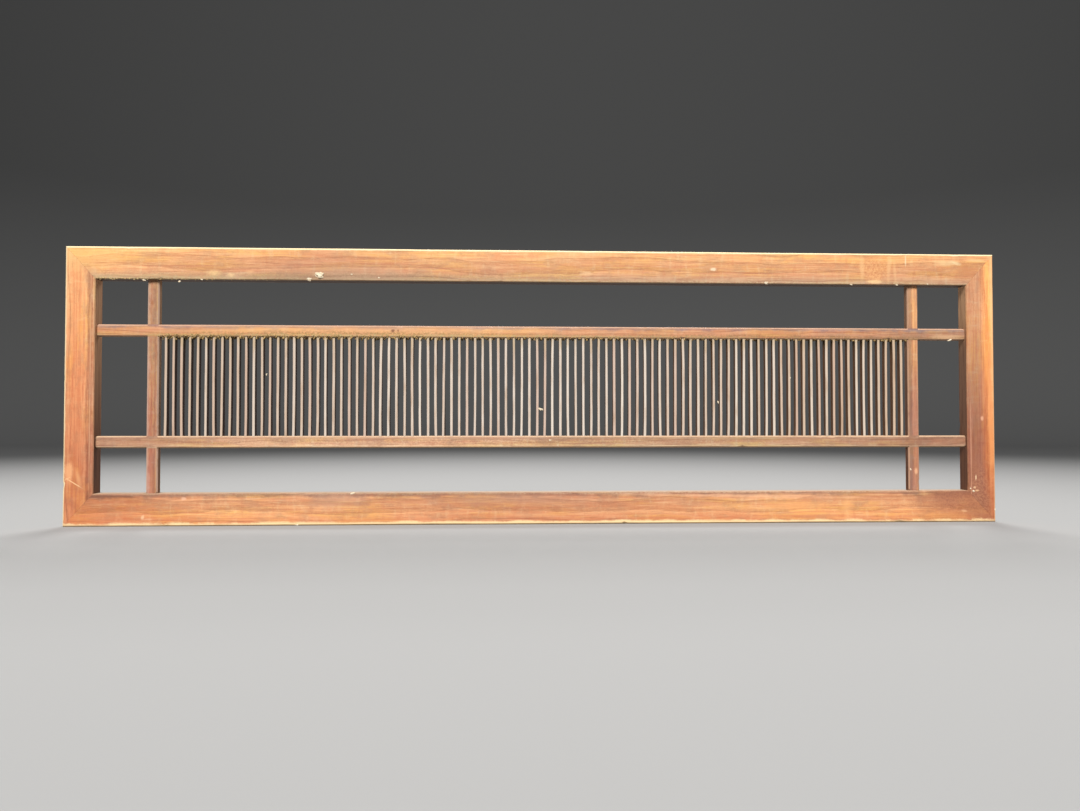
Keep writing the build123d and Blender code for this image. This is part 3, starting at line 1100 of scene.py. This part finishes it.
def dust():
    """Golden-brown house dust, matted, and paler on the top rail than on the lattice."""
    shader = Shader("matted_dust")
    height = shader.split(shader.place)[2]
    grain = shader.noise(shader.place, (0.6, 0.6, 0.6), detail=5.0, roughness=0.7)
    colour = shader.mix(shown(214, 180, 124), shown(106, 78, 42), shader.ramp(grain, 0.4, 0.64))
    paler = shader.ramp(height, SLAT_HIGH / MM, TOP_INNER / MM, 0.0, 0.65)
    colour = shader.mix(colour, shown(226, 198, 146), paler)
    shader.bump(grain, 0.4)
    return shader.finish(colour, 0.95, specular=0.1)


def plaster():
    """Off-white plaster."""
    shader = Shader("old_plaster")
    grain = shader.noise(shader.place, (1.1, 1.1, 1.1), detail=5.0, roughness=0.65)
    colour = shader.mix(shown(255, 238, 208), shown(232, 204, 162), shader.ramp(grain, 0.4, 0.7))
    shader.bump(grain, 0.3)
    return shader.finish(colour, 0.9, specular=0.2)


# ---- Stage ----


def paper():
    """Pale grey paper that darkens towards the wall."""
    shader = Shader("studio_paper")
    away = shader.node("ShaderNodeVectorMath", {0: shader.place}, operation="LENGTH").outputs["Value"]
    colour = shader.mix(PALE_PAPER, DEEP_PAPER, shader.ramp(away, 450.0, 2400.0))
    return shader.finish(colour, 0.95, specular=0.1)


def bowl_floor():
    """A wide pale floor that curves up into a wall on every side."""
    flat_radius, curve, wall_top = 3.4, 1.6, 3.3
    segments, curve_steps = 96, 16
    profile = [(0.6, 0.0), (1.5, 0.0), (flat_radius, 0.0)]
    for step in range(1, curve_steps + 1):
        angle = math.pi / 2 * step / curve_steps
        profile.append((flat_radius + curve * math.sin(angle), curve * (1 - math.cos(angle))))
    profile.append((flat_radius + curve, wall_top))
    points = [(0.0, 0.0, CAD_LOW.z)]
    for radius, height in profile:
        for number in range(segments):
            turn = 2 * math.pi * number / segments
            points.append((radius * math.cos(turn), radius * math.sin(turn), CAD_LOW.z + height))
    faces = [(0, 1 + number, 1 + (number + 1) % segments) for number in range(segments)]
    for ring in range(len(profile) - 1):
        start = 1 + ring * segments
        for number in range(segments):
            after = (number + 1) % segments
            above = start + segments
            faces.append((start + number, above + number, above + after, start + after))
    mesh = bpy.data.meshes.new("floor")
    mesh.from_pydata(points, [], faces)
    mesh.shade_smooth()
    floor = bpy.data.objects.new("floor", mesh)
    bpy.context.scene.collection.objects.link(floor)
    mesh.materials.append(paper())


def soft_light(name, energy, spread, source):
    """A broad light that comes from far away in the source's direction, spread over some degrees."""
    light = bpy.data.lights.new(name, "SUN")
    light.energy = energy
    light.angle = math.radians(spread)
    lamp = bpy.data.objects.new(name, light)
    lamp.rotation_euler = Vector(source).to_track_quat("Z", "Y").to_euler()
    bpy.context.scene.collection.objects.link(lamp)


def studio_light():
    """A key light from above and the front left, a weaker one from behind, and a little all round."""
    soft_light("key", energy=7.2, spread=24, source=(-0.1, -0.66, 0.7))
    soft_light("fill", energy=3.2, spread=30, source=(0.1, 0.7, 0.7))
    world = bpy.data.worlds.new("studio")
    world.use_nodes = True
    background = world.node_tree.nodes["Background"]
    background.inputs["Color"].default_value = (0.95, 0.97, 1.0, 1.0)
    background.inputs["Strength"].default_value = AROUND_LEVEL
    bpy.context.scene.world = world
    bpy.context.scene.view_settings.view_transform = "Standard"


def camera():
    """The camera stands a little left of the middle, low down, and looks slightly up."""
    data = bpy.data.cameras.new("camera")
    data.lens = CAMERA_LENS
    data.sensor_width = 36.0
    made = bpy.data.objects.new("camera", data)
    made.location = CAMERA_PLACE
    made.rotation_euler = [math.radians(angle) for angle in CAMERA_ANGLES]
    bpy.context.scene.collection.objects.link(made)
    bpy.context.scene.camera = made


make_outer_frame()
make_lattice()
make_slats()
make_slat_root_dust()
make_rail_dust()
make_crumbs()
make_fibres()
bowl_floor()
studio_light()
camera()
